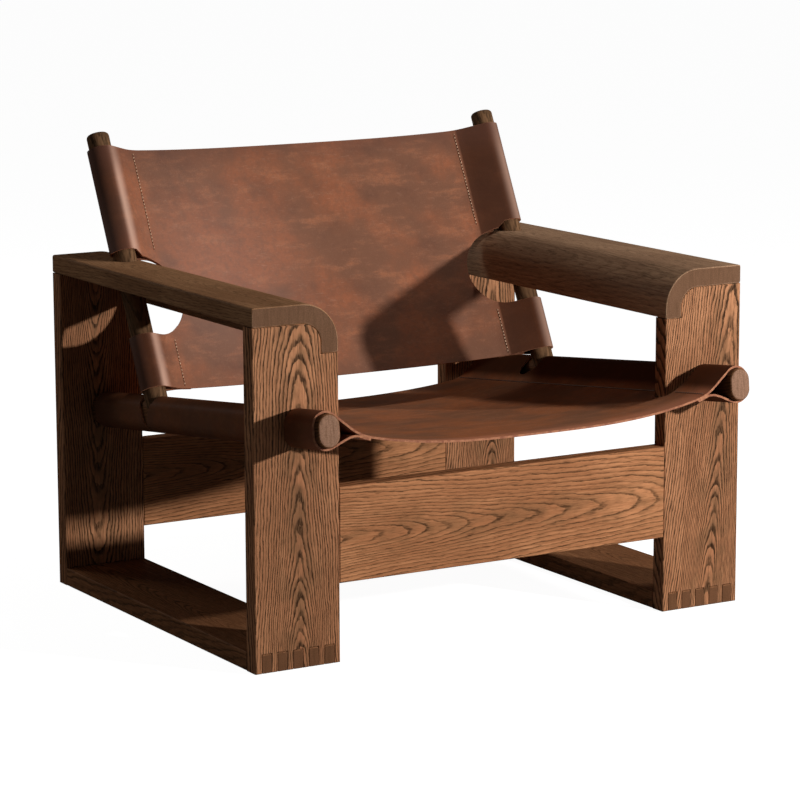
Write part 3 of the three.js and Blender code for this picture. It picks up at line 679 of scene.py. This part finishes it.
# Back: one sheet of the same leather between the dowels, sewn back behind as a sleeve round each.
# A round cut-out in each side lets the arm through and lies close over its top.
BACK_SEAM_X = 0.3125
BACK_SEAM_BEHIND = 0.011
BACK_SAG = 0.016
BACK_BOTTOM = 0.04091
BACK_TOP = 0.4515
BACK_ROWS = 70
BACK_KNIFE_REACH = 0.1
# Painted shade on the outer side of the left sleeve and on the right sleeve from its seam out, a
# painted highlight along the crest of each sleeve, and a darker band towards the top.
BACK_PAINTED_LIGHT_AND_TOP_BAND = (
    (ACROSS, -0.353, -0.373, None, HIDE_PAINTED_SHADE, 0.84),
    (ACROSS, 0.3105, 0.3145, None, HIDE_PAINTED_SHADE, 0.86),
    (ACROSS, -0.338, -0.356, -0.367, HIDE_PAINTED_HIGHLIGHT, 0.62),
    (ACROSS, 0.360, 0.378, 0.389, HIDE_PAINTED_HIGHLIGHT, 0.36),
    (UPWARD, 0.670, 0.722, None, HIDE_DARK, 0.46))
BACK_SHEEN = ((-0.20, 0.26, 0.53), 0.26, 0.17)
ARM_CUT_BOTTOM = 0.13018
ARM_CUT_CROWN = 0.2637
ARM_CUT_TOP = 0.27363
ARM_CUT_TOP_X = 0.352
ARM_CUT_INNER_X = 0.273
ARM_CUT_TURNS = [math.radians(turn) for turn in range(270, 89, -5)]
cut_radius = (ARM_CUT_CROWN - ARM_CUT_BOTTOM) / 2


def at_back(x, up, forward):
    """A place given across the chair, up the dowels from their feet, and forward of their plane."""
    return Vector((x,
                   DOWEL_FOOT_Y + up * dowel_way[1] + forward * dowel_front[1],
                   DOWEL_FOOT_HEIGHT + up * dowel_way[2] + forward * dowel_front[2]))


back_half, back_sewn = sling_section(BACK_SAG, BACK_SEAM_X, -BACK_SEAM_BEHIND, 0.0)
back_rows = []
for up in spaced(BACK_BOTTOM, BACK_TOP, BACK_ROWS) + [BACK_TOP]:
    back_rows.append([at_back(p.x, up, p.y) for p in mirrored(back_half)])

back_cuts = []
for _, across in SIDES:
    outline = [(ARM_CUT_INNER_X + cut_radius + cut_radius * math.cos(a),
                ARM_CUT_BOTTOM + cut_radius + cut_radius * math.sin(a)) for a in ARM_CUT_TURNS]
    outline += [(ARM_CUT_TOP_X, ARM_CUT_TOP), (KNIFE_OUTER_X, ARM_CUT_TOP),
                (KNIFE_OUTER_X, ARM_CUT_BOTTOM)]
    back_cuts.append(([at_back(across * x, up, -BACK_KNIFE_REACH) for x, up in outline],
                      2 * BACK_KNIFE_REACH * Vector(dowel_front)))

back_hide = saddle_leather("back_leather", shift=(3.1, 1.7, 0.4), clouding=0.62, brushing=0.62,
                           shade=(0.94, 0.504, 0.98), colour_strips=BACK_PAINTED_LIGHT_AND_TOP_BAND, polish=0.026,
                           sheen=BACK_SHEEN)
back = sling_sheet("back_leather_sling", back_rows, (back_hide, edge_leather), back_cuts)
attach(back, "root")
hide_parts("back_sling")

# Stitching: one row of waxed linen thread along each sleeve, through the panel and the hem behind
# it, at four to five stitches to the inch. Tan on the back and dark brown on the seat.
BACK_THREAD = ((0.700, 0.480, 0.310, 1.0), (0.400, 0.240, 0.140, 1.0))
SEAT_THREAD = ((0.150, 0.078, 0.044, 1.0), (0.080, 0.040, 0.024, 1.0))
STITCH_PITCH = 0.0056
STITCH_LENGTH = 0.0033
THREAD_RADIUS = 0.00100
AWL_HOLE_RADIUS = 0.00140
AWL_HOLE_SQUASH = 0.7
AWL_HOLE_RIM = 0.0002
AWL_HOLE_SIDES = 8
AWL_HOLE_PAINTED_SHADE = (0.012, 0.006, 0.004, 1.0)
STITCH_ARCH = 1.9
STITCH_SINK = 0.9
STITCH_NECK = 0.6
STITCH_SWELL = 0.4
STITCH_STEPS = 5
THREAD_SIDES = 6
SEAM_STEP = 0.001
SEAM_END = 0.005


def linen_thread(name, clean, soiled):
    """Waxed thread, soiled here and there."""
    thread, tree, shader = new_finish(name)
    spot = finish_step(tree, "ShaderNodeTexCoord").outputs["Object"]
    soil = step_between(tree, cloud(tree, spot, (1.0, 1.0, 1.0), size=0.007), 0.40, 0.66)
    tree.links.new(blended(tree, soil, clean, soiled), shader.inputs["Base Color"])
    shader.inputs["Roughness"].default_value = 0.7
    return thread


# Awl holes: a flat dark disc at each hole, painted shade for the depth of the hole.
awl_hole_shade, _, awl_shader = new_finish("awl_hole_shade")
awl_shader.inputs["Base Color"].default_value = AWL_HOLE_PAINTED_SHADE
awl_shader.inputs["Roughness"].default_value = 0.9
awl_shader.inputs["Specular IOR Level"].default_value = 0.0


def around(sides):
    """Even angles round a ring."""
    return [2 * math.pi * j / sides for j in range(sides)]


def seam_ways(place, face, spot):
    """Out of the leather, along the seam, and across it at one spot."""
    out = face(spot)
    ahead = (place(spot + SEAM_STEP) - place(spot - SEAM_STEP)).normalized()
    return out, ahead, out.cross(ahead)


def sewn_row(build, place, face, first, last):
    """Stitches from first to last along a seam; place and face give its point and its outside."""
    count = int((last - first) / STITCH_PITCH)
    for n in range(count):
        start = first + (n + 0.5) * (last - first) / count - STITCH_LENGTH / 2
        rings = []
        for k in range(STITCH_STEPS + 1):
            t = k / STITCH_STEPS
            spot = start + t * STITCH_LENGTH
            out, _, beside = seam_ways(place, face, spot)
            lift = THREAD_RADIUS * (STITCH_ARCH * math.sin(math.pi * t) - STITCH_SINK)
            thick = THREAD_RADIUS * (STITCH_NECK + STITCH_SWELL * math.sin(math.pi * t))
            middle = place(spot) + out * lift
            rings.append([build.verts.new(
                middle + thick * (math.cos(a) * beside + math.sin(a) * out))
                for a in around(THREAD_SIDES)])
        for near, far in zip(rings, rings[1:]):
            for j in range(THREAD_SIDES):
                after = (j + 1) % THREAD_SIDES
                build.faces.new((near[j], near[after], far[after], far[j]))
        build.faces.new(rings[0][::-1])
        build.faces.new(rings[-1])
        middle = start - (STITCH_PITCH - STITCH_LENGTH) / 2
        out, ahead, beside = seam_ways(place, face, middle)
        # A flat dark disc in the gap between stitches, painted shade for the awl hole.
        rim = [build.verts.new(place(middle) + AWL_HOLE_RADIUS * (
            math.cos(a) * beside * AWL_HOLE_SQUASH + math.sin(a) * ahead))
            for a in around(AWL_HOLE_SIDES)]
        over = build.verts.new(place(middle) + out * AWL_HOLE_RIM)
        under = build.verts.new(place(middle) - out * AWL_HOLE_RIM)
        for j in range(AWL_HOLE_SIDES):
            after = (j + 1) % AWL_HOLE_SIDES
            build.faces.new((rim[j], rim[after], over)).material_index = 1
            build.faces.new((rim[after], rim[j], under)).material_index = 1


def sew(name, seam_of, at_place, across, runs, thread):
    """The rows of one seam, on the show side and on the hem behind it, as one piece."""
    def seam_point(spot, side_out):
        line, sewn = seam_of(spot)
        lean = (line[sewn + 1] - line[sewn - 1]).normalized()
        outward = Vector((-lean.y, lean.x))
        depth = LEATHER_THICK / 2 if side_out > 0 else -1.5 * LEATHER_THICK - LAYER_GAP
        point = line[sewn] + outward * depth
        return point, outward * side_out

    build = bmesh.new()
    for side_out in (1, -1):
        def place(spot):
            point, _ = seam_point(spot, side_out)
            return at_place(across * point.x, spot, point.y)

        def face(spot):
            point, outward = seam_point(spot, side_out)
            tip = point + outward
            return (at_place(across * tip.x, spot, tip.y)
                    - at_place(across * point.x, spot, point.y)).normalized()

        for first, last in runs:
            sewn_row(build, place, face, first, last)
    bmesh.ops.recalc_face_normals(build, faces=build.faces)
    for side in build.faces:
        side.smooth = True
    shape = bpy.data.meshes.new(name)
    build.to_mesh(shape)
    build.free()
    shape.materials.append(thread)
    shape.materials.append(awl_hole_shade)
    row = set_down(name, shape)
    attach(row, "root")
    return row


def back_section(_):
    return back_half, back_sewn


notch_along = (NOTCH_Y - POST_FRONT_Y) / math.cos(BAR_SLOPE)
seat_runs = [(SEAT_FRONT + SEAM_END, notch_along - NOTCH_HALF - SEAM_END),
             (notch_along + NOTCH_HALF + SEAM_END, SEAT_REAR - SEAM_END)]
back_runs = [(BACK_BOTTOM + SEAM_END, ARM_CUT_BOTTOM - SEAM_END),
             (ARM_CUT_TOP + SEAM_END, BACK_TOP - SEAM_END)]
seat_thread = linen_thread("seat_thread", *SEAT_THREAD)
back_thread = linen_thread("back_thread", *BACK_THREAD)
seat_threads = [sew("seat_stitching_" + side, seat_section, at_seat, across, seat_runs, seat_thread)
                for side, across in SIDES]
back_threads = [sew("back_stitching_" + side, back_section, at_back, across, back_runs, back_thread)
                for side, across in SIDES]

# Studio: a plain white floor, a small lamp to the right of the front a little above the chair, a
# weaker one high up on the same side, a broad weak one behind, and dim light all round.
FLOOR_HALF = 40.0
FLOOR_GREY = (0.30, 0.30, 0.30, 1.0)
FLOOR_GLOW = 0.96
LAMPS = (("key_lamp", (1.66, -3.00, 1.13), 0.12, 127.0),
         ("high_lamp", (1.45, -0.55, 3.05), 0.35, 24.0),
         ("rear_lamp", (-1.60, 3.00, 1.60), 1.00, 18.0))
LAMP_AIM = (0.0, 0.0, 0.40)
ROOM_LIGHT = 0.053
ROOM_WHITE = (1.0, 1.0, 1.0, 1.0)

floor_mesh = bpy.data.meshes.new("studio_floor")
floor_mesh.from_pydata([(-FLOOR_HALF, -FLOOR_HALF, 0), (FLOOR_HALF, -FLOOR_HALF, 0),
                        (FLOOR_HALF, FLOOR_HALF, 0), (-FLOOR_HALF, FLOOR_HALF, 0)],
                       [], [(0, 1, 2, 3)])
floor = set_down("studio_floor", floor_mesh)
floor_white = bpy.data.materials.new("studio_white")
floor_white.use_nodes = True
floor_tree = floor_white.node_tree
floor_tree.nodes.remove(floor_tree.nodes["Principled BSDF"])


def seen_ray(tree):
    """One for a ray that shows the background, seen, mirrored or through glass, and else none."""
    path = finish_step(tree, "ShaderNodeLightPath")
    seen = sum_of(tree, "ADD", path.outputs["Is Camera Ray"], path.outputs["Is Glossy Ray"])
    seen = sum_of(tree, "ADD", seen, path.outputs["Is Transmission Ray"])
    return sum_of(tree, "MINIMUM", seen, 1.0)


floor_glow = sum_of(floor_tree, "MULTIPLY", seen_ray(floor_tree), FLOOR_GLOW)
floor_paint = finish_step(floor_tree, "ShaderNodeBsdfDiffuse", {"Color": FLOOR_GREY})
floor_light = finish_step(floor_tree, "ShaderNodeEmission", {"Strength": floor_glow})
floor_sum = finish_step(floor_tree, "ShaderNodeAddShader",
                        {0: floor_paint.outputs[0], 1: floor_light.outputs[0]})
floor_tree.links.new(floor_sum.outputs[0], floor_tree.nodes["Material Output"].inputs["Surface"])
floor_mesh.materials.append(floor_white)

for lamp_name, lamp_place, lamp_size, lamp_power in LAMPS:
    lamp_light = bpy.data.lights.new(lamp_name, "AREA")
    lamp_light.shape = "DISK"
    lamp_light.size = lamp_size
    lamp_light.energy = lamp_power
    lamp = set_down(lamp_name, lamp_light)
    lamp.location = lamp_place
    lamp_way = Vector(LAMP_AIM) - Vector(lamp_place)
    lamp.rotation_euler = lamp_way.to_track_quat("-Z", "Y").to_euler()

room = bpy.data.worlds.new("studio_room")
bpy.context.scene.world = room
room.use_nodes = True
room_tree = room.node_tree
room_glow = finish_step(room_tree, "ShaderNodeMapRange", {
    "Value": seen_ray(room_tree), "To Min": ROOM_LIGHT, "To Max": 1.0})
room_tree.links.new(room_glow.outputs[0], room_tree.nodes["Background"].inputs["Strength"])
room_tree.nodes["Background"].inputs["Color"].default_value = ROOM_WHITE

# Camera: stands five metres off, round to the chair's right hand as one sits in it, and looks a
# little down along a long lens.
CAMERA_PLACE = (-2.59424, -4.34853, 1.24756)
CAMERA_TURN = -0.5352
CAMERA_DIP = -0.1796
CAMERA_ROLL = -0.0036
CAMERA_LENS = 143.905
SENSOR_WIDTH = 36.0

ahead = Vector((-math.sin(CAMERA_TURN) * math.cos(CAMERA_DIP),
                math.cos(CAMERA_TURN) * math.cos(CAMERA_DIP), math.sin(CAMERA_DIP)))
level_right = ahead.cross(Vector((0, 0, 1))).normalized()
level_up = level_right.cross(ahead)
rolled_right = math.cos(CAMERA_ROLL) * level_right + math.sin(CAMERA_ROLL) * level_up
rolled_up = math.cos(CAMERA_ROLL) * level_up - math.sin(CAMERA_ROLL) * level_right
camera_data = bpy.data.cameras.new("photo_camera")
camera_data.lens = CAMERA_LENS
camera_data.sensor_width = SENSOR_WIDTH
camera = set_down("photo_camera", camera_data)
camera.matrix_world = Matrix.Translation(CAMERA_PLACE) @ Matrix(
    (rolled_right, rolled_up, -ahead)).transposed().to_4x4()
bpy.context.scene.camera = camera
bpy.context.scene.view_settings.view_transform = "Standard"
